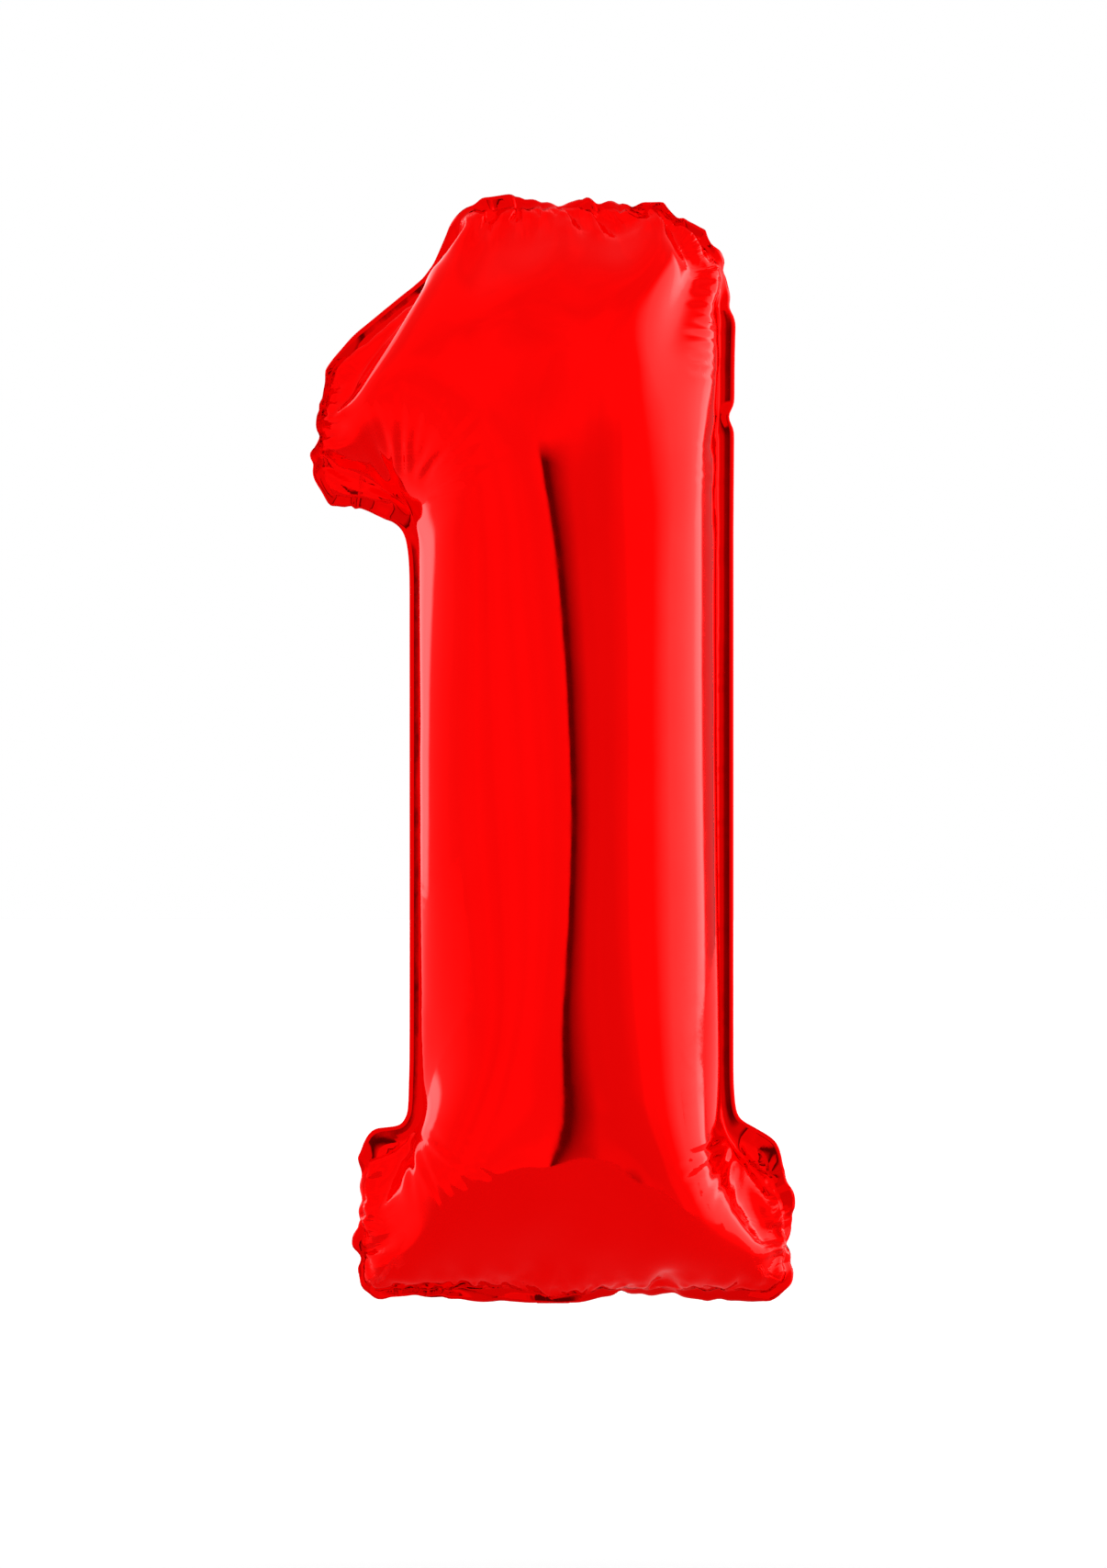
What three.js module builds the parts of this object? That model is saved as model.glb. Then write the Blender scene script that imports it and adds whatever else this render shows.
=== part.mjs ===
// Foil balloon in the shape of a figure 1, blown up. Millimetres, +Z up, front face towards -Y.
// The origin is below the middle of the overall box, at the height of its lowest edge.
import * as THREE from "three";

// Film and seams. The walls are drawn thicker than real film so that each piece stays a sound solid.
const PANEL_FILM = 0.4;
const VALVE_FILM = 0.3;
const PLY_GAP = 0.3;
const SEAL_WIDTH = 14;

// Outline of the blown-up body, measured from seam line to seam line.
const STEM_WIDTH = 224;
const STEM_HEIGHT = 520;
const BASE_HEIGHT = 104;
const BASE_END_RIGHT = 90;
const BASE_REACH_LEFT = 43;
const BASE_REACH_RIGHT = 49;
const FLAG_HEIGHT = 212;
const FLAG_REACH = 77;
const NOSE_HEIGHT = 104;
const TOP_SETBACK = 30;
const FULLNESS = 1;

// How far each corner's curve starts from the corner itself.
const CORNER = 14;
const FILLET = 28;
const TOP_CORNER = 56;

// Filling neck and flat valve.
const NECK_X = 0;
const NECK_WIDTH = 30;
const NECK_LENGTH = 50;
const NECK_CORNER = 3;
const NECK_FOLD = 105;
const FOLD_LIFT = 0.7;
const FOLD_ROOM = 1.8;
const VALVE_WIDTH = 24;
const VALVE_LENGTH = 132;
const VALVE_CORNER = 6;
const VALVE_ROOM = 2;

// Heights and sides that follow from the sizes above.
const bottom = SEAL_WIDTH;
const shoulder = bottom + BASE_HEIGHT;
const underFlag = shoulder + STEM_HEIGHT;
const top = underFlag + FLAG_HEIGHT;
const leftReach = Math.max(FLAG_REACH, BASE_REACH_LEFT);
const stemLeft = leftReach - (leftReach + STEM_WIDTH + BASE_REACH_RIGHT) / 2;
const stemRight = stemLeft + STEM_WIDTH;
const middle = (stemLeft + stemRight) / 2;

// Mesh density: pieces along each straight run and round each corner, and across the body.
const RUN_STEPS = [1, 1, 1, 6, 2, 2, 3, 1];
const CORNER_STEPS = 3;
const CROSS_STEPS = 14;

// One side of the seam line from the bottom to the top, as a path with rounded corners.
function sidePath(corners) {
  const path = new THREE.Path();
  const points = corners.map(([x, z]) => new THREE.Vector2(x, z));
  path.moveTo(middle, bottom);
  let before = new THREE.Vector2(middle, bottom);
  points.forEach((point, n) => {
    const after = points[n + 1] ?? new THREE.Vector2(middle, top);
    const setback = corners[n][2];
    const into = point.clone().add(before.clone().sub(point).setLength(setback));
    const away = point.clone().add(after.clone().sub(point).setLength(setback));
    path.lineTo(into.x, into.y);
    path.quadraticCurveTo(point.x, point.y, away.x, away.y);
    before = point;
  });
  path.lineTo(middle, top);
  return path;
}

// Points along a side. The first and last runs lie on the straight bottom and top seams and are left out.
function sidePoints(path) {
  const points = [];
  path.curves.slice(1, -1).forEach((curve, n) => {
    const steps = n % 2 ? RUN_STEPS[(n + 1) / 2] : CORNER_STEPS;
    const piece = curve.getPoints(steps);
    points.push(...(n ? piece.slice(1) : piece));
  });
  return points;
}

const leftSide = sidePoints(
  sidePath([
    [stemLeft - BASE_REACH_LEFT, bottom, CORNER],
    [stemLeft - BASE_REACH_LEFT, shoulder, CORNER],
    [stemLeft, shoulder, FILLET],
    [stemLeft, underFlag, FILLET],
    [stemLeft - FLAG_REACH, underFlag, CORNER],
    [stemLeft - FLAG_REACH, underFlag + NOSE_HEIGHT, CORNER],
    [stemLeft + TOP_SETBACK, top, CORNER],
  ]),
);

// The right side is straight past the flag, and its points there only pair with the nose's corners.
const rightSide = sidePoints(
  sidePath([
    [stemRight + BASE_REACH_RIGHT, bottom, CORNER],
    [stemRight + BASE_REACH_RIGHT, bottom + BASE_END_RIGHT, CORNER],
    [stemRight, shoulder, FILLET],
    [stemRight, underFlag, FILLET],
    [stemRight, underFlag + 0.29 * FLAG_HEIGHT, CORNER],
    [stemRight, underFlag + 0.54 * FLAG_HEIGHT, CORNER],
    [stemRight, top, TOP_CORNER],
  ]),
);

const ribs = leftSide.length;
const columns = CROSS_STEPS + 1;

// The seam line as one loop of net places [rib, column], anticlockwise seen from the front.
const loop = [];
for (let c = 0; c < columns - 1; c++) loop.push([0, c]);
for (let r = 0; r < ribs - 1; r++) loop.push([r, columns - 1]);
for (let c = columns - 1; c > 0; c--) loop.push([ribs - 1, c]);
for (let r = ribs - 1; r > 0; r--) loop.push([r, 0]);

// A place in the net as seen from the front: ribs run from the left seam to the right one.
function netPoint(rib, column) {
  const across = (1 - Math.cos((Math.PI * column) / CROSS_STEPS)) / 2;
  return leftSide[rib].clone().lerp(rightSide[rib], across);
}

const seam = loop.map(([rib, column]) => netPoint(rib, column));

// Outward direction in the seam's plane at each place of the loop.
const outward = seam.map((_, n) => {
  const next = seam[(n + 1) % seam.length];
  const last = seam[(n + seam.length - 1) % seam.length];
  const along = next.clone().sub(last).normalize();
  return new THREE.Vector2(along.y, -along.x);
});

function insideSeam(x, z) {
  let inside = false;
  seam.forEach((a, n) => {
    const b = seam[(n + 1) % seam.length];
    const crosses = a.y > z !== b.y > z;
    if (crosses && x < a.x + ((z - a.y) * (b.x - a.x)) / (b.y - a.y)) inside = !inside;
  });
  return inside;
}

// Half depth of the blown-up body anywhere inside the seam. A film under even pressure is solved on a
// grid, and its square root makes a long straight limb exactly round, as a blown-up tube is.
function bulge() {
  const across = 48;
  const stepX = STEM_WIDTH / across;
  const stepZ = (top - bottom) / Math.round((top - bottom) / stepX);
  const spare = Math.ceil(Math.max(leftReach, BASE_REACH_RIGHT) / stepX) + 1;
  const nx = across + 2 * spare + 1;
  const nz = Math.round((top - bottom) / stepZ) + 1;
  const x0 = stemLeft - spare * stepX;
  const film = new Float64Array(nx * nz);
  const free = [];
  for (let k = 1; k < nz - 1; k++)
    for (let i = 1; i < nx - 1; i++)
      if (insideSeam(x0 + i * stepX, bottom + k * stepZ)) free.push(k * nx + i);
  const wx = 1 / stepX ** 2;
  const wz = 1 / stepZ ** 2;
  const sweeps = 500;
  const push = 1.93;
  for (let n = 0; n < sweeps; n++)
    for (const at of free) {
      const pulled = wx * (film[at - 1] + film[at + 1]) + wz * (film[at - nx] + film[at + nx]) + 1;
      film[at] += push * (pulled / (2 * (wx + wz)) - film[at]);
    }
  return (x, z) => {
    const u = (x - x0) / stepX;
    const v = THREE.MathUtils.clamp((z - bottom) / stepZ, 0, nz - 1.001);
    const i = Math.floor(u);
    const k = Math.floor(v);
    const at = k * nx + i;
    const low = THREE.MathUtils.lerp(film[at], film[at + 1], u - i);
    const high = THREE.MathUtils.lerp(film[at + nx], film[at + nx + 1], u - i);
    return FULLNESS * Math.sqrt(2 * THREE.MathUtils.lerp(low, high, v - k));
  };
}

const halfDepth = bulge();

// Depth at a place of the net. Next to the seam it follows from the next column in, as on a round tube.
function netDepth(rib, column) {
  const edge = Math.min(column, CROSS_STEPS - column);
  if (edge === 0 || rib === 0 || rib === ribs - 1) return 0;
  const inner = edge > 1 ? column : column === 1 ? 2 : CROSS_STEPS - 2;
  const p = netPoint(rib, inner);
  const depth = halfDepth(p.x, p.y);
  const share = Math.sin(Math.PI / CROSS_STEPS) / Math.sin((2 * Math.PI) / CROSS_STEPS);
  return edge > 1 ? depth : depth * share;
}

// One film panel, a body blown out to one side (-1 is the front) with its flat seal strip round it.
function panelGeometry(facing) {
  const positions = [];
  const index = [];
  const add = (x, y, z) => positions.push(x, facing * y, z) / 3 - 1;
  const insetBy = (rib, column, inset) => {
    const n = loop.findIndex(([r, c]) => r === rib && c === column);
    return netPoint(rib, column).addScaledVector(outward[n], -inset);
  };
  const skin = (level, inset) => {
    const net = [];
    for (let r = 0; r < ribs; r++) {
      const from = insetBy(r, 0, inset);
      const to = insetBy(r, columns - 1, inset);
      for (let c = 0; c < columns; c++) {
        const across = (1 - Math.cos((Math.PI * c) / CROSS_STEPS)) / 2;
        const p = from.clone().lerp(to, across);
        net.push(add(p.x, level + netDepth(r, c), p.y));
      }
    }
    const rim = seam.map((p, n) => {
      const q = p.clone().addScaledVector(outward[n], SEAL_WIDTH);
      return add(q.x, level, q.y);
    });
    return { net, rim };
  };
  const quad = (a, b, c, d, turned) => {
    if (turned) index.push(a, c, b, a, d, c);
    else index.push(a, b, c, a, c, d);
  };
  const cover = ({ net, rim }, turned) => {
    for (let r = 0; r < ribs - 1; r++)
      for (let c = 0; c < columns - 1; c++) {
        const at = r * columns + c;
        quad(net[at], net[at + 1], net[at + columns + 1], net[at + columns], turned);
      }
    loop.forEach(([r, c], n) => {
      const [r2, c2] = loop[(n + 1) % loop.length];
      const next = rim[(n + 1) % rim.length];
      quad(rim[n], next, net[r2 * columns + c2], net[r * columns + c], turned);
    });
  };
  const outer = skin(PLY_GAP / 2 + PANEL_FILM, 0);
  const inner = skin(PLY_GAP / 2, PANEL_FILM);
  const mirrored = facing > 0;
  cover(outer, mirrored);
  cover(inner, !mirrored);
  outer.rim.forEach((a, n) => {
    const m = (n + 1) % outer.rim.length;
    quad(inner.rim[n], inner.rim[m], outer.rim[m], a, mirrored);
  });
  const geometry = new THREE.BufferGeometry();
  geometry.setAttribute("position", new THREE.Float32BufferAttribute(positions, 3));
  geometry.setIndex(index);
  geometry.computeVertexNormals();
  return geometry;
}

// A flat strip standing on z = 0 with its far corners rounded, lying between y = 0 and y = film.
function stripGeometry(width, length, corner, film) {
  const half = width / 2;
  const shape = new THREE.Shape();
  shape.moveTo(-half, 0);
  shape.lineTo(half, 0);
  shape.lineTo(half, length - corner);
  shape.absarc(half - corner, length - corner, corner, 0, Math.PI / 2);
  shape.absarc(corner - half, length - corner, corner, Math.PI / 2, Math.PI);
  const geometry = new THREE.ExtrudeGeometry(shape, {
    depth: film,
    bevelEnabled: false,
    curveSegments: 3,
  });
  geometry.rotateX(Math.PI / 2);
  return geometry.translate(0, film, 0);
}

function mesh(name, geometry, color, metalness, roughness) {
  const material = new THREE.MeshStandardMaterial({ color, metalness, roughness });
  material.name = name;
  const made = new THREE.Mesh(geometry, material);
  made.name = name;
  return made;
}

const balloon = new THREE.Group();
const RED = 0xf40000;
const CLEAR = 0xd8dcdc;

balloon.add(mesh("front_panel", panelGeometry(-1), RED, 1, 0.1));
balloon.add(mesh("back_panel", panelGeometry(1), RED, 1, 0.1));

// The flat valve stands inside the body on the bottom seam: two clear films, one each side of y = 0.
const valve = new THREE.Group();
valve.position.set(NECK_X, 0, bottom + VALVE_ROOM);
const valveFront = mesh(
  "valve_front_film",
  stripGeometry(VALVE_WIDTH, VALVE_LENGTH, VALVE_CORNER, VALVE_FILM),
  CLEAR,
  0,
  0.3,
);
valveFront.position.y = -PLY_GAP / 2 - VALVE_FILM;
const valveBack = mesh(
  "valve_back_film",
  stripGeometry(VALVE_WIDTH, VALVE_LENGTH, VALVE_CORNER, VALVE_FILM),
  CLEAR,
  0,
  0.3,
);
valveBack.position.y = PLY_GAP / 2;
valve.add(valveFront, valveBack);
balloon.add(valve);

// The neck hangs from the seal's lower edge and is folded back under the body. Its two plies carry the
// valve's outer end between them, and the group is built hanging straight down, then turned to rest.
const neck = new THREE.Group();
neck.position.set(NECK_X, 0, FOLD_LIFT);
neck.rotation.x = THREE.MathUtils.degToRad(NECK_FOLD);
function hang(name, width, film, y, color, metalness, roughness) {
  const strip = stripGeometry(width, NECK_LENGTH, NECK_CORNER, film);
  strip.rotateY(Math.PI);
  const made = mesh(name, strip, color, metalness, roughness);
  made.position.set(0, y, -FOLD_ROOM);
  neck.add(made);
}
const inletFace = PLY_GAP / 2;
const plyFace = inletFace + VALVE_FILM + PLY_GAP;
hang("inlet_front_film", VALVE_WIDTH, VALVE_FILM, -inletFace - VALVE_FILM, CLEAR, 0, 0.3);
hang("inlet_back_film", VALVE_WIDTH, VALVE_FILM, inletFace, CLEAR, 0, 0.3);
hang("neck_front_ply", NECK_WIDTH, PANEL_FILM, -plyFace - PANEL_FILM, RED, 1, 0.1);
hang("neck_back_ply", NECK_WIDTH, PANEL_FILM, plyFace, RED, 1, 0.1);
balloon.add(neck);

export default balloon;
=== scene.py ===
import math

import bmesh
import bpy
import numpy as np
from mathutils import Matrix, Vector
from mathutils.geometry import delaunay_2d_cdt


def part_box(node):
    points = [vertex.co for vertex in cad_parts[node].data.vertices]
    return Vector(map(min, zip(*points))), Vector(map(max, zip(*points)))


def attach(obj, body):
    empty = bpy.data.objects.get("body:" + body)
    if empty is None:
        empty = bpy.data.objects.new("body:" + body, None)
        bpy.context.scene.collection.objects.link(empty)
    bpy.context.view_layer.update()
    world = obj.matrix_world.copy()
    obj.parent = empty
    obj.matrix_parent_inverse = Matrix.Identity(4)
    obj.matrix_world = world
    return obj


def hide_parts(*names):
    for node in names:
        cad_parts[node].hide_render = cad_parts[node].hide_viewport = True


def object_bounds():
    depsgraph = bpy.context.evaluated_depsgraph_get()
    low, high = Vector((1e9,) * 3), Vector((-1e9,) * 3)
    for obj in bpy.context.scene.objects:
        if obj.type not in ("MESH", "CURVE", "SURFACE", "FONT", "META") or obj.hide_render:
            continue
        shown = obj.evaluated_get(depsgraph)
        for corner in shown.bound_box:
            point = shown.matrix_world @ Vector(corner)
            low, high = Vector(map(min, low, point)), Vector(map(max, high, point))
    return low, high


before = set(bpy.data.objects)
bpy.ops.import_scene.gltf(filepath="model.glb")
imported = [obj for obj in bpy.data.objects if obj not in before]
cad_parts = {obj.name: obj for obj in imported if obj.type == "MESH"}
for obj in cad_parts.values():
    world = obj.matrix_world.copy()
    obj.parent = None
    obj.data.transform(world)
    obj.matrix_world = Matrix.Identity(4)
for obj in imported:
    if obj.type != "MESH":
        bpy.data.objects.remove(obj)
cad_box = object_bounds()


# ---- Foil panels -------------------------------------------------------------------------------
# Two sheets of red metallised nylon film, cut flat to the same figure 1 and heat sealed together
# round the edge with a 14 mm rim. Gas fills them, so the stem goes round and the ends gather.

FILM = 0.00025
RIM = 0.014
PLY_HALF_GAP = 0.0003
MESH_STEP = 0.006
SEAM_CLEARANCE = 0.62
FILL_FRAMES = 28
LED_BY_FRAME = 10

# The flat cut's corners in mm, each with its radius, anticlockwise from the base's left end.
FLAT_CUT = [
    (-168, -20, 26), (-60, -32, 300), (96, -36, 300), (214, -18, 26), (228, 60, 150),
    (230, 120, 10), (193, 132, 16), (191, 600, 500), (187, 740, 300), (177, 854, 46),
    (128, 888, 50), (0, 894, 400), (-88, 886, 36), (-214, 769, 26), (-223, 690, 200),
    (-227, 606, 9), (-170, 620, 30), (-163, 136, 18), (-199, 134, 9), (-192, 60, 120),
]
# The same seam when the balloon is full.
FULL_SEAM = [
    (-147, 6, 14), (-58, 8, 300), (84, 7, 300), (180, 6, 16), (181, 62, 150),
    (171, 101, 18), (127, 140, 26), (127, 600, 500), (128, 735, 300), (130, 805, 24),
    (89, 846, 34), (0, 850, 300), (-68, 848, 14), (-80, 795, 60), (-174, 718, 14),
    (-180, 685, 200), (-185, 631, 7), (-98, 625, 42), (-98, 118, 50), (-147, 114, 14),
    (-147, 65, 200),
]
# Places on the flat seam and where each lies when full: between them the seam gathers evenly.
HELD_AT = [
    ((-165, 375), (-98, 375)), ((-163, 163), (-98, 160)), ((-198, 124), (-147, 114)),
    ((-168, -20), (-147, 6)), ((214, -18), (180, 6)), ((230, 108), (173, 101)),
    ((191, 172), (127, 172)), ((191, 375), (127, 375)), ((191, 600), (127, 600)),
    ((182, 803), (130, 800)), ((-88, 886), (-66, 847)), ((-217, 762), (-174, 718)),
    ((-225, 636), (-185, 631)), ((-166, 560), (-98, 560)),
]


def rounded(corners):
    """The outline through these corners, with each one rounded to its radius."""
    line = []
    for i, (x, z, radius) in enumerate(corners):
        here = Vector((x, z))
        before = Vector(corners[i - 1][:2]) - here
        after = Vector(corners[(i + 1) % len(corners)][:2]) - here
        half = before.angle(after) / 2
        setback = min(radius / math.tan(half), 0.48 * before.length, 0.48 * after.length)
        bow = setback * math.tan(half)
        middle = here + (before.normalized() + after.normalized()).normalized() * (bow / math.sin(half))
        start = here + before.normalized() * setback - middle
        end = here + after.normalized() * setback - middle
        turn = math.atan2(start.x * end.y - start.y * end.x, start.dot(end))
        steps = max(2, int(abs(turn) * bow / 2) + 1)
        for k in range(steps + 1):
            c, s = math.cos(turn * k / steps), math.sin(turn * k / steps)
            line.append((middle.x + start.x * c - start.y * s, middle.y + start.x * s + start.y * c))
    return np.array(line)


def lengths(line):
    """The distance along a closed line at each of its points, and the line with its start repeated."""
    closed = np.vstack([line, line[:1]])
    return np.concatenate([[0], np.cumsum(np.linalg.norm(np.diff(closed, axis=0), axis=1))]), closed


def point_at(line, along):
    """The points at these distances along a closed line."""
    run, closed = lengths(line)
    along = np.mod(along, run[-1])
    return np.stack([np.interp(along, run, closed[:, 0]), np.interp(along, run, closed[:, 1])], 1)


def nearest(points, line):
    """For each point, its distance from the closed line and how far along the line that is."""
    run, closed = lengths(line)
    best = np.full(len(points), 1e9)
    along = np.zeros(len(points))
    for i in range(len(line)):
        side = closed[i + 1] - closed[i]
        t = np.clip((points - closed[i]) @ side / max(side @ side, 1e-12), 0, 1)
        away = np.linalg.norm(points - (closed[i] + t[:, None] * side), axis=1)
        closer = away < best
        best[closer] = away[closer]
        along[closer] = (run[i] + t * math.sqrt(side @ side))[closer]
    return best, along


def inside(points, line):
    """Which of the points are inside a closed line."""
    held = np.zeros(len(points), bool)
    for a, b in zip(line, np.roll(line, -1, 0)):
        if a[1] != b[1]:
            crosses = (a[1] > points[:, 1]) != (b[1] > points[:, 1])
            held ^= crosses & (points[:, 0] < (b[0] - a[0]) * (points[:, 1] - a[1]) / (b[1] - a[1]) + a[0])
    return held


# Seam stations: the same number on the flat cut and on the full seam.
flat_line, full_line = rounded(FLAT_CUT), rounded(FULL_SEAM)
flat_round, full_round = lengths(flat_line)[0][-1], lengths(full_line)[0][-1]
flat_held = nearest(np.array([a for a, b in HELD_AT], float), flat_line)[1]
full_held = nearest(np.array([b for a, b in HELD_AT], float), full_line)[1]
order = np.argsort(flat_held)
flat_held, full_held = flat_held[order], full_held[order]
full_held = full_held + full_round * np.concatenate([[0], np.cumsum(np.diff(full_held) < 0)])
flat_held = np.append(flat_held, flat_held[0] + flat_round)
full_held = np.append(full_held, full_held[0] + full_round)
stations = int(round(flat_round / (MESH_STEP * 1000)))
station_at = flat_held[0] + flat_round * np.arange(stations) / stations
flat_seam = point_at(flat_line, station_at) / 1000
full_seam = point_at(full_line, np.interp(station_at, flat_held, full_held)) / 1000
gathered = 1 - np.gradient(np.interp(station_at, flat_held, full_held)) / np.gradient(station_at)

# Even rows of triangles inside the flat seam.
low, high = flat_seam.min(0), flat_seam.max(0)
row_pitch = MESH_STEP * math.sqrt(3) / 2
rows = []
for k in range(int((high[1] - low[1]) / row_pitch) + 1):
    spots = np.arange(low[0] + MESH_STEP / 2 * (k % 2), high[0], MESH_STEP)
    rows.append(np.stack([spots, np.full(len(spots), low[1] + k * row_pitch)], 1))
field = np.vstack(rows)
field = field[inside(field, flat_seam)]
field = field[nearest(field, flat_seam)[0] > SEAM_CLEARANCE * MESH_STEP]
cut = np.vstack([flat_seam, field])
seam_edges = [(i, (i + 1) % stations) for i in range(stations)]
cut_faces = delaunay_2d_cdt([Vector(p) for p in cut], seam_edges, [], 1, 1e-7)[2]

# The two sheets, joined at the seam, and the rim outside it in two rows.
across = np.roll(flat_seam, -1, 0) - np.roll(flat_seam, 1, 0)
outward = np.stack([across[:, 1], -across[:, 0]], 1) / np.linalg.norm(across, axis=1)[:, None]
pillow = bmesh.new()
side_of = pillow.faces.layers.int.new("side")
seam_verts = [pillow.verts.new((x, 0, z)) for x, z in flat_seam]
sheet_verts = {
    side: seam_verts + [pillow.verts.new((x, side * 0.001, z)) for x, z in cut[stations:]] for side in (-1, 1)
}
for side in (-1, 1):
    for corners in cut_faces:
        made = pillow.faces.new([sheet_verts[side][i] for i in corners])
        made[side_of] = side
        made.normal_update()
        if made.normal.y * side < 0:
            made.normal_flip()
rim_rows = [seam_verts]
for k in (1, 2):
    rim_rows.append([
        pillow.verts.new((x + ox * RIM * k / 2, 0, z + oz * RIM * k / 2))
        for (x, z), (ox, oz) in zip(flat_seam, outward)
    ])
    for i in range(stations):
        j = (i + 1) % stations
        quad = [rim_rows[k - 1][i], rim_rows[k - 1][j], rim_rows[k][j], rim_rows[k][i]]
        for corners in (quad[:3], [quad[0], quad[2], quad[3]]):
            pillow.faces.new(corners)[side_of] = 0
pillow.verts.index_update()
rim_start = rim_rows[1][0].index
filled_mesh = bpy.data.meshes.new("filled")
pillow.to_mesh(filled_mesh)
pillow.free()
filled = bpy.data.objects.new("filled", filled_mesh)
bpy.context.scene.collection.objects.link(filled)

# Filling: the seam is led to its full place while gas presses on both sheets.
flat_co = np.zeros(len(filled_mesh.vertices) * 3)
filled_mesh.vertices.foreach_get("co", flat_co)
flat_co = flat_co.reshape(-1, 3)
led_co = flat_co.copy()
led_co[:stations, 0], led_co[:stations, 2] = full_seam[:, 0], full_seam[:, 1]
filled.shape_key_add(name="Flat")
led = filled.shape_key_add(name="Led")
led.data.foreach_set("co", led_co.ravel())
led.value = 0
led.keyframe_insert("value", frame=1)
led.value = 1
led.keyframe_insert("value", frame=LED_BY_FRAME)
pressed = filled.vertex_groups.new(name="pressed")
pressed.add(list(range(rim_start)), 1.0, "REPLACE")
led_group = filled.vertex_groups.new(name="led")
led_group.add(list(range(stations)), 0.9, "REPLACE")
gas = filled.modifiers.new("gas", "CLOTH")
film = gas.settings
film.quality = 8
film.mass = 0.002
film.air_damping = 1
film.tension_stiffness = film.compression_stiffness = film.shear_stiffness = 15
film.bending_stiffness = 0.06
film.tension_damping = film.compression_damping = film.shear_damping = 5
film.bending_damping = 0.5
film.bending_model = "ANGULAR"
film.effector_weights.gravity = 0
film.use_pressure = True
film.uniform_pressure_force = 20
film.vertex_group_pressure = "pressed"
film.vertex_group_mass = "led"
film.pin_stiffness = 4
gas.collision_settings.use_collision = False
gas.collision_settings.use_self_collision = False
gas.point_cache.frame_start = 1
gas.point_cache.frame_end = FILL_FRAMES
bpy.context.scene.frame_start = 1
bpy.context.scene.frame_end = FILL_FRAMES
for f in range(1, FILL_FRAMES + 1):
    bpy.context.scene.frame_set(f)
settled = filled.evaluated_get(bpy.context.evaluated_depsgraph_get()).data
full_co = np.zeros(len(flat_co) * 3)
settled.vertices.foreach_get("co", full_co)
full_co = full_co.reshape(-1, 3)
bpy.context.scene.frame_set(1)

# Where the seam isn't drawn up the rim lies flat in line with it, and elsewhere it goes in lobes.
seam_co = full_co[:stations]
calm_seam = sum(np.roll(seam_co, k, 0) for k in range(-3, 4)) / 7
heading = np.roll(calm_seam, -1, 0) - np.roll(calm_seam, 1, 0)
square = np.stack([heading[:, 2], 0 * heading[:, 1], -heading[:, 0]], 1)
square /= np.linalg.norm(square, axis=1)[:, None]
drawn = np.concatenate([gathered[-7:], gathered, gathered[:7]])
drawn = np.convolve(drawn, np.ones(15) / 15, "valid")
loose = np.clip((drawn - 0.05) / 0.1, 0, 1)[:, None]
for k in (1, 2):
    start = rim_start + (k - 1) * stations
    flat_rim = seam_co + square * RIM * k / 2
    lobes = full_co[start:start + stations]
    for _ in range(2):
        lobes = (np.roll(lobes, 1, 0) + 2 * lobes + np.roll(lobes, -1, 0)) / 4
    lobes = 0.1 * seam_co + 0.5 * lobes + 0.4 * flat_rim
    full_co[start:start + stations] = flat_rim * (1 - loose) + lobes * loose
# The places where the rim is nipped in between its lobes, x and z in mm.
NIP_REACH = 0.0052
NIP_DEPTH = 0.0065
NIP_LEAN = 0.003
NIPS = [
    (-66, 5), (0, 4), (49, 4), (95, 5), (164, 6), (188, 43), (189, 93), (186, 117), (140, 687),
    (138, 771), (139, 803), (128, 826), (97, 850), (63, 857), (36, 858), (5, 859), (-67, 858),
    (-182, 736), (-189, 713), (-188, 670), (-187, 650), (-157, 95), (-157, 77), (-157, 57), (-156, 30),
]
for k in (2, 1):
    start = rim_start + (k - 1) * stations
    edge = full_co[rim_start + stations:rim_start + 2 * stations, [0, 2]]
    for x, z in NIPS:
        from_nip = np.linalg.norm(edge - np.array([x, z]) / 1000, axis=1)
        near_nip = np.exp(-(from_nip / NIP_REACH) ** 2)
        full_co[start:start + stations] -= square * (near_nip * NIP_DEPTH * k / 2)[:, None]
        full_co[start:start + stations, 1] += near_nip * NIP_LEAN * (1 if x > z - 400 else -1)

# The lowest point of the rim stands just above the balloon's foot.
FOOT_CLEARANCE = 0.0012
full_co[:, 2] += max(cad_box[0].z + FOOT_CLEARANCE - full_co[:, 2].min(), -0.001)

# At the neck the rim is drawn flat and down to the fold.
DRAWN_HALF_WIDTH = 0.044
DRAWN_HEIGHT = 0.04
DRAWN_FADE = 0.026
HEM_LEVEL = 0.0008
fold_low, fold_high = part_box("neck_front_ply")
fold_x = (fold_low.x + fold_high.x) / 2
hem = full_co[rim_start + stations:]
hem = hem[(hem[:, 2] < 0.05) & (np.abs(hem[:, 0] - fold_x) < 0.08)]
hem = hem[np.argsort(hem[:, 0])]
hem_z = np.interp(full_co[:, 0], hem[:, 0], hem[:, 2])
close = np.clip((DRAWN_HALF_WIDTH - np.abs(full_co[:, 0] - fold_x)) / DRAWN_FADE, 0, 1)
close *= np.clip((DRAWN_HEIGHT - full_co[:, 2]) / DRAWN_FADE, 0, 1)
close = close * close * (3 - 2 * close)
sealed = np.r_[:stations, rim_start:len(full_co)]
full_co[sealed, 1] *= 1 - close[sealed]
full_co[:, 2] -= (hem_z - HEM_LEVEL) * close

# How far each point is from the seam, and along it, for the gathers in the film.
edge_away, edge_along = nearest(flat_co[:, [0, 2]] * 1000, flat_seam * 1000)
edge_away[rim_start:] *= -1
pull_evened = np.convolve(
    np.concatenate([gathered[-6:], gathered, gathered[:6]]), np.ones(13) / 13, "valid")
pulled = np.interp(edge_along, np.linspace(0, flat_round, stations), pull_evened)


# Sharp little folds pressed in where the seam is drawn up: start, end, half width and depth in mm.
folds = []


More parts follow.
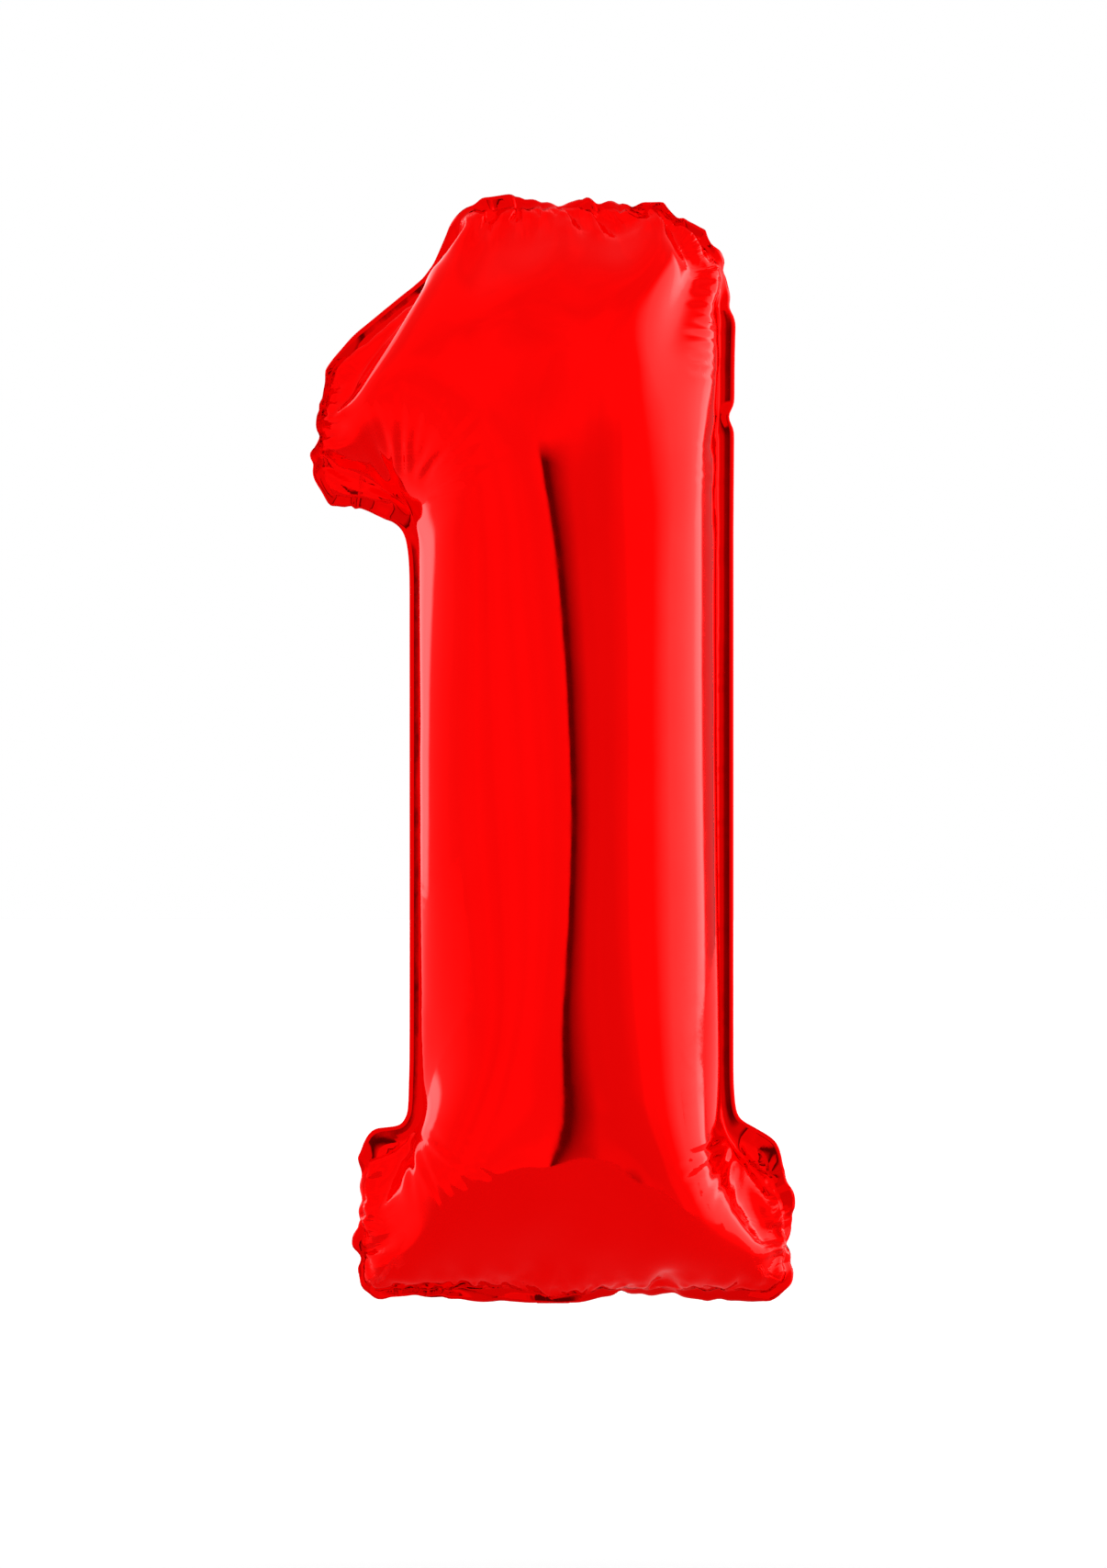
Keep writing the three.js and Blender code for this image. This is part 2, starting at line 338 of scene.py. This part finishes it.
def fan(centre, near, far, first, last, count, width, depth):
    """Folds that spread from an inside corner, between two bearings in degrees."""
    for k in range(count):
        turn = math.radians(first + (last - first) * (k + 0.35 * math.sin(2.4 * k + 1)) / (count - 1))
        reach = far * (0.62 + 0.38 * math.sin(1.9 * k + 0.6) ** 2)
        ray = Vector((math.cos(turn), math.sin(turn)))
        foot, tip = Vector(centre) + ray * near, Vector(centre) + ray * reach
        folds.append((foot, tip, width, depth * (0.7 + 0.3 * math.cos(1.3 * k))))


def gathers(start, end, inward, count, width, depth):
    """A row of short folds square to the seam."""
    for k in range(count):
        foot = Vector(start).lerp(Vector(end), (k + 0.2 * math.sin(3.1 * k)) / (count - 1))
        tip = foot + Vector(inward) * (0.72 + 0.28 * math.sin(2.3 * k + 0.5))
        folds.append((foot, tip, width, depth * (0.75 + 0.25 * math.cos(1.7 * k))))


fan((-116, 624), 24, 96, 122, 10, 14, 2.8, 1.5)
fan((-114, 148), 22, 88, -88, -18, 12, 2.8, 1.3)
fan((150, 131), 18, 62, 188, 262, 13, 2.5, 1.3)
gathers((126, 724), (125, 818), (-26, 0), 11, 2.6, 1.2)
gathers((122, 640), (123, 668), (-16, 0), 4, 2.0, 0.4)
gathers((-50, 18), (2, 18), (0, 15), 8, 1.7, 0.35)
gathers((110, 17), (168, 22), (0, 17), 6, 2.4, 0.3)
gathers((-128, 18), (-78, 17), (0, 16), 5, 2.4, 0.3)
gathers((-50, 842), (100, 836), (-1, -18), 13, 2.4, 0.35)
gathers((-172, 650), (-172, 716), (20, 0), 7, 2.4, 0.35)


# How the filled film is evened: distance from the seam, rounds, and the heights between.
EVENING = ((0.016, 26, 0.12, 0.6), (0.03, 14, 0, 1), (0.012, 3, 0, 1))


def foil_panel(name, side):
    """One sheet with its ply of the rim, from the filled pair."""
    skin = bmesh.new()
    skin.from_mesh(filled_mesh)
    skin.verts.ensure_lookup_table()
    for vert, place in zip(skin.verts, full_co):
        vert.co = place
    away = skin.verts.layers.float.new("away")
    along = skin.verts.layers.float.new("along")
    pull = skin.verts.layers.float.new("pull")
    for vert, a, b, c in zip(skin.verts, edge_away, edge_along, pulled):
        vert[away], vert[along], vert[pull] = a / 1000, b / 1000, max(c, 0)
    kept = skin.faces.layers.int["side"]
    bmesh.ops.delete(skin, geom=[f for f in skin.faces if f[kept] == -side], context="FACES")
    for reach, rounds, foot, top in EVENING:
        calm = [v for v in skin.verts if v[away] > reach and foot < v.co.z < top]
        for _ in range(rounds):
            bmesh.ops.smooth_vert(
                skin, verts=calm, factor=0.5, use_axis_x=True, use_axis_y=True, use_axis_z=True)
    bmesh.ops.recalc_face_normals(skin, faces=skin.faces)
    if sum(f.normal.y * f.calc_area() for f in skin.faces) * side < 0:
        bmesh.ops.reverse_faces(skin, faces=skin.faces)
    skin.normal_update()
    for vert in skin.verts:
        vert.co += vert.normal * PLY_HALF_GAP
    bmesh.ops.join_triangles(skin, faces=skin.faces, angle_face_threshold=0.7, angle_shape_threshold=0.9)
    for f in skin.faces:
        f.smooth = True
    mesh = bpy.data.meshes.new(name)
    skin.to_mesh(mesh)
    skin.free()
    piece = bpy.data.objects.new(name, mesh)
    bpy.context.scene.collection.objects.link(piece)
    smoother = piece.modifiers.new("even", "SUBSURF")
    smoother.levels = smoother.render_levels = 1
    fine = bpy.data.meshes.new_from_object(piece.evaluated_get(bpy.context.evaluated_depsgraph_get()))
    piece.modifiers.clear()
    piece.data = fine
    bpy.data.meshes.remove(mesh)
    fine.name = name
    count = len(fine.vertices)
    place, lean, inset = np.zeros(count * 3), np.zeros(count * 3), np.zeros(count)
    fine.vertices.foreach_get("co", place)
    fine.vertices.foreach_get("normal", lean)
    fine.attributes["away"].data.foreach_get("value", inset)
    place, lean = place.reshape(-1, 3), lean.reshape(-1, 3)
    flat_place = place[:, [0, 2]] * 1000
    sunk = np.zeros(count)
    for start, end, width, depth in folds:
        run = end - start
        t = (flat_place - np.array(start)) @ np.array(run) / run.length_squared
        off = flat_place - np.array(start) - t[:, None] * np.array(run)
        taper = np.clip((t + 0.12) / 0.2, 0, 1) * np.clip(1 - t, 0, 1) ** 0.7
        ratio = np.linalg.norm(off, axis=1) / width
        sunk += depth * taper * (np.exp(-ratio ** 2) - 0.45 * np.exp(-(ratio - 1.9) ** 2 * 1.2))
    sunk *= np.clip((inset * 1000 - 0.5) / 4, 0, 1) / 1000
    fine.vertices.foreach_set("co", (place - lean * sunk[:, None]).ravel())
    fine.update()
    wall = piece.modifiers.new("film", "SOLIDIFY")
    wall.thickness = FILM
    wall.offset = 1
    return piece


def wired(owner, kind, **settings):
    """A new node in this material or world, with its settings."""
    node = owner.node_tree.nodes.new(kind)
    for key, value in settings.items():
        setattr(node, key, value)
    return node


def ranged(owner, source, low, high, at_low, at_high, **settings):
    """The source's value brought from low and high to at_low and at_high."""
    node = wired(owner, "ShaderNodeMapRange", **settings)
    for socket, value in (("From Min", low), ("From Max", high), ("To Min", at_low), ("To Max", at_high)):
        node.inputs[socket].default_value = value
    owner.node_tree.links.new(source, node.inputs["Value"])
    return node.outputs["Result"]


def red_foil(name, crinkle):
    """Mirror-bright red lacquer over the metal layer, finely crinkled and gathered near the seam."""
    foil = bpy.data.materials.new(name)
    foil.use_nodes = True
    tree = foil.node_tree
    shader = tree.nodes["Principled BSDF"]
    shader.inputs["Metallic"].default_value = 1
    shader.inputs["IOR"].default_value = 1.5
    shader.inputs["Specular Tint"].default_value = (1, 0.6, 0.6, 1)
    place = wired(foil, "ShaderNodeTexCoord")
    tint = wired(foil, "ShaderNodeTexNoise")
    tint.inputs["Scale"].default_value = 14
    tint.inputs["Detail"].default_value = 4
    tree.links.new(place.outputs["Object"], tint.inputs["Vector"])
    shade = wired(foil, "ShaderNodeValToRGB")
    shade.color_ramp.elements[0].color = (0.94, 0.0012, 0.0012, 1)
    shade.color_ramp.elements[1].color = (0.98, 0.0022, 0.002, 1)
    tree.links.new(tint.outputs["Fac"], shade.inputs["Fac"])
    # The sealed rim, and about a millimetre of film in from the seam, get a darker base colour: partly the
    # duller heat-sealed film, partly painted shade for the darker reflections along the rim and the seam
    # line.
    rim_distance = wired(foil, "ShaderNodeAttribute", attribute_name="away")
    rim_dull_and_shade_mask = ranged(foil, rim_distance.outputs["Fac"], -0.0015, 0.001, 1, 0)
    rim_dull_and_shade = wired(foil, "ShaderNodeMix", data_type="RGBA", blend_type="MULTIPLY")
    rim_dull_and_shade.inputs["B"].default_value = (0.84, 0.6, 0.6, 1)
    tree.links.new(rim_dull_and_shade_mask, rim_dull_and_shade.inputs["Factor"])
    tree.links.new(shade.outputs["Color"], rim_dull_and_shade.inputs["A"])
    tree.links.new(rim_dull_and_shade.outputs["Result"], shader.inputs["Base Color"])
    haze = wired(foil, "ShaderNodeTexNoise")
    haze.inputs["Scale"].default_value = 55
    haze.inputs["Detail"].default_value = 6
    tree.links.new(place.outputs["Object"], haze.inputs["Vector"])
    polish = ranged(foil, haze.outputs["Fac"], 0.35, 0.7, 0.045, 0.1)
    tree.links.new(polish, shader.inputs["Roughness"])

    # gathers: fine folds square to the seam, that die away into the sheet
    along = wired(foil, "ShaderNodeAttribute", attribute_name="along")
    away = wired(foil, "ShaderNodeAttribute", attribute_name="away")
    pull = wired(foil, "ShaderNodeAttribute", attribute_name="pull")
    lie = wired(foil, "ShaderNodeCombineXYZ")
    tree.links.new(along.outputs["Fac"], lie.inputs["X"])
    tree.links.new(away.outputs["Fac"], lie.inputs["Y"])
    stretch = wired(foil, "ShaderNodeVectorMath", operation="MULTIPLY")
    stretch.inputs[1].default_value = (120, 14, 1)
    tree.links.new(lie.outputs["Vector"], stretch.inputs[0])
    folds = wired(foil, "ShaderNodeTexNoise")
    folds.inputs["Scale"].default_value = 1
    folds.inputs["Detail"].default_value = 3
    folds.inputs["Roughness"].default_value = 0.45
    tree.links.new(stretch.outputs["Vector"], folds.inputs["Vector"])
    fade = ranged(foil, away.outputs["Fac"], 0, 0.055, 1, 0, interpolation_type="SMOOTHSTEP")
    strength = wired(foil, "ShaderNodeMath", operation="MULTIPLY")
    tree.links.new(fade, strength.inputs[0])
    tree.links.new(pull.outputs["Fac"], strength.inputs[1])
    off_rim = ranged(foil, away.outputs["Fac"], -0.001, 0.002, 0.12, 1)
    body_strength = wired(foil, "ShaderNodeMath", operation="MULTIPLY")
    tree.links.new(strength.outputs["Value"], body_strength.inputs[0])
    tree.links.new(off_rim, body_strength.inputs[1])
    rise = wired(foil, "ShaderNodeMath", operation="MULTIPLY")
    tree.links.new(folds.outputs["Fac"], rise.inputs[0])
    tree.links.new(body_strength.outputs["Value"], rise.inputs[1])
    gather_bump = wired(foil, "ShaderNodeBump")
    gather_bump.inputs["Strength"].default_value = 0.6
    gather_bump.inputs["Distance"].default_value = 0.012
    tree.links.new(rise.outputs["Value"], gather_bump.inputs["Height"])

    # crinkle: the film's own fine creases, all over
    crease = wired(foil, "ShaderNodeTexNoise")
    crease.inputs["Scale"].default_value = 24
    crease.inputs["Detail"].default_value = 5
    crease.inputs["Roughness"].default_value = 0.4
    tree.links.new(place.outputs["Object"], crease.inputs["Vector"])
    fine_bump = wired(foil, "ShaderNodeBump")
    fine_bump.inputs["Strength"].default_value = crinkle
    fine_bump.inputs["Distance"].default_value = 0.002
    tree.links.new(crease.outputs["Fac"], fine_bump.inputs["Height"])
    tree.links.new(gather_bump.outputs["Normal"], fine_bump.inputs["Normal"])
    tree.links.new(fine_bump.outputs["Normal"], shader.inputs["Normal"])
    return foil


front = foil_panel("front_foil", -1)
back = foil_panel("back_foil", 1)
foil = red_foil("red_foil", 0.08)
for piece, node in ((front, "front_panel"), (back, "back_panel")):
    piece.data.materials.append(foil)
    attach(piece, "envelope")
    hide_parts(node)
bpy.data.objects.remove(filled)


# ---- Neck --------------------------------------------------------------------------------------
# The filling tail: a narrow strip of both foil sheets, sealed down its two sides, with the valve's
# clear films inside. It is folded back under the base, out of sight from the front.

NECK_RISE = math.radians(15)
NECK_RUN = Vector((0, math.cos(NECK_RISE), math.sin(NECK_RISE)))
NECK_FRONT = Vector((0, math.sin(NECK_RISE), -math.cos(NECK_RISE)))
NECK_START = Vector((0, 0, 0.0007)) + NECK_RUN * 0.0018
NECK_LENGTH = 0.05
NECK_HALF = 0.015
VALVE_HALF = 0.012
SIDE_SEAL = 0.003
STRIP_PULL = 0.05
STRIP_STEP = 0.0009


def tail_crumple(x, s):
    """How far the whole tail is bent out of its plane, x across it and s along it, all in metres."""
    long_wave = 0.5 * math.sin(210 * s + 90 * x)
    cross_wave = 0.3 * math.sin(430 * s - 260 * x + 1)
    side_wave = 0.2 * math.sin(700 * x + 160 * s)
    return 0.0009 * (long_wave + cross_wave + side_wave) * min(1, max(0, (s - 0.004) / 0.02))


def film_strip(name, node, corner, run, front, half, length, offset, crumple, thickness):
    """A flat strip of film that starts at corner, goes along run and faces front."""
    across_count = 36
    along_count = max(12, int(length / STRIP_STEP))
    strip = bmesh.new()
    bmesh.ops.create_grid(strip, x_segments=across_count, y_segments=along_count, size=1)
    away = strip.verts.layers.float.new("away")
    along = strip.verts.layers.float.new("along")
    pull = strip.verts.layers.float.new("pull")
    for vert in strip.verts:
        x, s = vert.co.x * half, (vert.co.y + 1) / 2 * length
        vert[away], vert[along], vert[pull] = half - abs(x) - SIDE_SEAL, s, STRIP_PULL
        vert.co = corner + run * s + front * (offset(x, s) + crumple(x, s))
        vert.co.x += x
    strip.normal_update()
    if sum((f.normal for f in strip.faces), Vector()).dot(front) * offset(0, 0) < 0:
        bmesh.ops.reverse_faces(strip, faces=strip.faces)
    for f in strip.faces:
        f.smooth = True
    mesh = bpy.data.meshes.new(name)
    strip.to_mesh(mesh)
    strip.free()
    piece = bpy.data.objects.new(name, mesh)
    bpy.context.scene.collection.objects.link(piece)
    wall = piece.modifiers.new("film", "SOLIDIFY")
    wall.thickness = thickness
    wall.offset = 0
    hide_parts(node)
    return piece


def ply_offset(x, s):
    """The foil plies meet at the side seals and part a little at the open end."""
    seal = min(1, max(0, (NECK_HALF - 0.0012 - abs(x)) / 0.0018))
    mouth = max(0, (s - NECK_LENGTH + 0.012) / 0.012) ** 2 * math.cos(math.pi * x / (2 * NECK_HALF))
    return 0.00018 + (0.00077 + 0.0007 * mouth) * seal * seal * (3 - 2 * seal)


neck_foil = red_foil("neck_foil", 0.3)
for facing, side in (("front", 1), ("back", -1)):
    ply = film_strip(
        f"neck_{facing}_foil", f"neck_{facing}_ply", NECK_START, NECK_RUN, NECK_FRONT, NECK_HALF, NECK_LENGTH,
        lambda x, s: side * ply_offset(x, s), tail_crumple, FILM)
    ply.data.materials.append(neck_foil)
    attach(ply, "neck")


# ---- Valve -------------------------------------------------------------------------------------
# A flat tube of two clear polyethylene films, which runs from the neck through the bottom seal and
# lies loose inside. Gas presses the films together and closes it.

CLEAR_FILM = 0.00015
INLET_SHORTER = 0.004
VALVE_FOOT = 0.016
VALVE_LENGTH = 0.132

clear = bpy.data.materials.new("clear_film")
clear.use_nodes = True
clear_shader = clear.node_tree.nodes["Principled BSDF"]
clear_shader.inputs["Base Color"].default_value = (0.9, 0.93, 0.95, 1)
clear_shader.inputs["Transmission Weight"].default_value = 0.9
clear_shader.inputs["IOR"].default_value = 1.51
clear_place = wired(clear, "ShaderNodeTexCoord")
clear_haze = wired(clear, "ShaderNodeTexNoise")
clear_haze.inputs["Scale"].default_value = 160
clear_haze.inputs["Detail"].default_value = 4
clear.node_tree.links.new(clear_place.outputs["Object"], clear_haze.inputs["Vector"])
clear_polish = ranged(clear, clear_haze.outputs["Fac"], 0, 1, 0.12, 0.34)
clear.node_tree.links.new(clear_polish, clear_shader.inputs["Roughness"])
clear_bump = wired(clear, "ShaderNodeBump")
clear_bump.inputs["Strength"].default_value = 0.25
clear_bump.inputs["Distance"].default_value = 0.0008
clear.node_tree.links.new(clear_haze.outputs["Fac"], clear_bump.inputs["Height"])
clear.node_tree.links.new(clear_bump.outputs["Normal"], clear_shader.inputs["Normal"])


def valve_crumple(x, s):
    """Both films of the flat tube bend together, more as they get further from the seal."""
    return 0.0011 * math.sin(52 * s + 40 * x) * min(1, s / 0.03) + 0.00025 * math.sin(310 * x + 120 * s)


def clear_offset(x, s):
    """The two films are sealed to each other down both sides."""
    seal = min(1, max(0, (VALVE_HALF - 0.001 - abs(x)) / 0.002))
    return 0.0001 + 0.0002 * seal


for facing, side in (("front", 1), ("back", -1)):
    inlet = film_strip(
        f"inlet_{facing}_clear", f"inlet_{facing}_film", NECK_START, NECK_RUN, NECK_FRONT, VALVE_HALF,
        NECK_LENGTH - INLET_SHORTER, lambda x, s: side * clear_offset(x, s), tail_crumple, CLEAR_FILM)
    inlet.data.materials.append(clear)
    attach(inlet, "neck")
for facing, side in (("front", 1), ("back", -1)):
    tube = film_strip(
        f"valve_{facing}_clear", f"valve_{facing}_film", Vector((0, 0, VALVE_FOOT)), Vector((0, 0, 1)),
        Vector((0, -1, 0)), VALVE_HALF, VALVE_LENGTH, lambda x, s: side * clear_offset(x, s), valve_crumple,
        CLEAR_FILM)
    tube.data.materials.append(clear)
    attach(tube, "valve")


# ---- Studio ------------------------------------------------------------------------------------
# A white light tent with a narrow gap in front for the camera, a strip light to the right and one
# behind to the left, and a pale floor.

FLOOR_FRONT = -0.85
FLOOR_LEVEL = -0.55
floor_mesh = bpy.data.meshes.new("floor")
floor_shape = bmesh.new()
bmesh.ops.create_grid(floor_shape, x_segments=1, y_segments=1, size=14)
bmesh.ops.translate(floor_shape, verts=floor_shape.verts, vec=(0, 14 + FLOOR_FRONT, 0))
floor_shape.to_mesh(floor_mesh)
floor_shape.free()
floor = bpy.data.objects.new("floor", floor_mesh)
floor.location = (0, 0, FLOOR_LEVEL)
bpy.context.scene.collection.objects.link(floor)
floor_paint = bpy.data.materials.new("floor_paint")
floor_paint.use_nodes = True
floor_shader = floor_paint.node_tree.nodes["Principled BSDF"]
floor_shader.inputs["Base Color"].default_value = (0.45, 0.45, 0.45, 1)
# The floor also glows: painted light, almost none within 1.2 m of the middle and rising to full by 3 m. This
# leaves the floor round the balloon darker: painted shade.
floor_shader.inputs["Emission Color"].default_value = (1, 1, 1, 1)
floor_reach = wired(floor_paint, "ShaderNodeVectorMath", operation="LENGTH")
floor_place = wired(floor_paint, "ShaderNodeTexCoord")
floor_paint.node_tree.links.new(floor_place.outputs["Object"], floor_reach.inputs[0])
floor_painted_glow = ranged(
    floor_paint, floor_reach.outputs["Value"], 1.2, 3, 0.02, 0.45, interpolation_type="SMOOTHSTEP")
floor_paint.node_tree.links.new(floor_painted_glow, floor_shader.inputs["Emission Strength"])
floor_shader.inputs["Roughness"].default_value = 0.9
floor_mesh.materials.append(floor_paint)

# brightness of the tent round the balloon: degrees from straight ahead, right positive
TENT = [
    (-180, 1.02), (-171, 1.02), (-167, 2.0), (-150, 2.6), (-141, 4), (-131, 9), (-127, 1.1),
    (-3, 1.08), (-1.5, 0.12), (1.5, 0.12), (4, 0.35), (13, 0.88), (42, 0.92), (45, 1.08), (64, 1.1),
    (80, 15), (110, 18), (114, 26), (122, 26), (125, 0.95), (142, 0.8), (154, 0.25), (170, 0.22),
    (174, 1.02), (180, 1.02),
]
world = bpy.data.worlds.new("tent")
bpy.context.scene.world = world
world.use_nodes = True
tent = world.node_tree
light = tent.nodes["Background"]
light.inputs["Color"].default_value = (1, 1, 1, 1)
look = wired(world, "ShaderNodeTexCoord")
split = wired(world, "ShaderNodeSeparateXYZ")
tent.links.new(look.outputs["Generated"], split.inputs["Vector"])
ahead = wired(world, "ShaderNodeMath", operation="MULTIPLY")
ahead.inputs[1].default_value = -1
tent.links.new(split.outputs["Y"], ahead.inputs[0])
bearing = wired(world, "ShaderNodeMath", operation="ARCTAN2")
tent.links.new(split.outputs["X"], bearing.inputs[0])
tent.links.new(ahead.outputs["Value"], bearing.inputs[1])
turned = ranged(world, bearing.outputs["Value"], -math.pi, math.pi, 0, 1)
ring = wired(world, "ShaderNodeFloatCurve")
TENT_PEAK = 40
curve = ring.mapping.curves[0]
for degrees, glow in TENT:
    at = (degrees + 180) / 360
    if degrees == -180:
        point = curve.points[0]
        point.location = (0, glow / TENT_PEAK)
    elif degrees == 180:
        point = curve.points[-1]
        point.location = (1, glow / TENT_PEAK)
    else:
        point = curve.points.new(at, glow / TENT_PEAK)
    point.handle_type = "VECTOR"
ring.mapping.update()
tent.links.new(turned, ring.inputs["Value"])
# above and below the tent's walls the light is even
wall_band = wired(world, "ShaderNodeFloatCurve")
band = wall_band.mapping.curves[0]
for degrees, share in ((-46, 1), (-42, 0), (9, 0), (13, 1)):
    band.points.new((math.sin(math.radians(degrees)) + 1) / 2, share).handle_type = "VECTOR"
band.points[0].location, band.points[-1].location = (0, 1), (1, 1)
wall_band.mapping.update()
height = wired(world, "ShaderNodeMath", operation="ABSOLUTE")
tent.links.new(split.outputs["Z"], height.inputs[0])
rise_share = ranged(world, split.outputs["Z"], -1, 1, 0, 1)
tent.links.new(rise_share, wall_band.inputs["Value"])
scaled = wired(world, "ShaderNodeMath", operation="MULTIPLY")
scaled.inputs[1].default_value = TENT_PEAK
tent.links.new(ring.outputs["Value"], scaled.inputs[0])
lifted = wired(world, "ShaderNodeMath", operation="MAXIMUM")
lifted.inputs[1].default_value = 1.05
tent.links.new(scaled.outputs["Value"], lifted.inputs[0])
strip_end = ranged(
    world, height.outputs["Value"], math.sin(math.radians(24)), math.sin(math.radians(36)), 0, 1,
    interpolation_type="SMOOTHSTEP")
roof = wired(world, "ShaderNodeMix", data_type="FLOAT")
roof.inputs["B"].default_value = 1.05
tent.links.new(strip_end, roof.inputs["Factor"])
tent.links.new(lifted.outputs["Value"], roof.inputs["A"])
glow_mix = wired(world, "ShaderNodeMix", data_type="FLOAT")
tent.links.new(wall_band.outputs["Value"], glow_mix.inputs["Factor"])
tent.links.new(scaled.outputs["Value"], glow_mix.inputs["A"])
tent.links.new(roof.outputs["Result"], glow_mix.inputs["B"])
# the tent's cloth hangs in soft folds
cloth = wired(world, "ShaderNodeTexNoise")
cloth.inputs["Scale"].default_value = 1.7
cloth.inputs["Detail"].default_value = 3
tent.links.new(look.outputs["Generated"], cloth.inputs["Vector"])
cloth_tone = ranged(world, cloth.outputs["Fac"], 0.38, 0.6, 0.9, 1.02)
# ahead of the camera the backdrop is clean white
backdrop = ranged(world, split.outputs["Y"], 0.9, 0.96, 0, 1, interpolation_type="SMOOTHSTEP")
clean = wired(world, "ShaderNodeMix", data_type="FLOAT")
clean.inputs["B"].default_value = 1.0
tent.links.new(backdrop, clean.inputs["Factor"])
tent.links.new(cloth_tone, clean.inputs["A"])
lit = wired(world, "ShaderNodeMath", operation="MULTIPLY")
tent.links.new(glow_mix.outputs["Result"], lit.inputs[0])
tent.links.new(clean.outputs["Result"], lit.inputs[1])
# seen directly, the tent is plain white
seen = wired(world, "ShaderNodeLightPath")
plain = wired(world, "ShaderNodeMix", data_type="FLOAT")
plain.inputs["B"].default_value = 1.0
tent.links.new(seen.outputs["Is Camera Ray"], plain.inputs["Factor"])
tent.links.new(lit.outputs["Value"], plain.inputs["A"])
tent.links.new(plain.outputs["Result"], light.inputs["Strength"])
bpy.context.scene.view_settings.view_transform = "Standard"

camera_data = bpy.data.cameras.new("camera")
camera_data.lens = 100
camera_data.sensor_width = 36
camera_data.clip_end = 60
camera = bpy.data.objects.new("camera", camera_data)
camera.location = (0.0004, -3.4017, 0.406)
camera.rotation_euler = (math.radians(90), 0, 0)
bpy.context.scene.collection.objects.link(camera)
bpy.context.scene.camera = camera
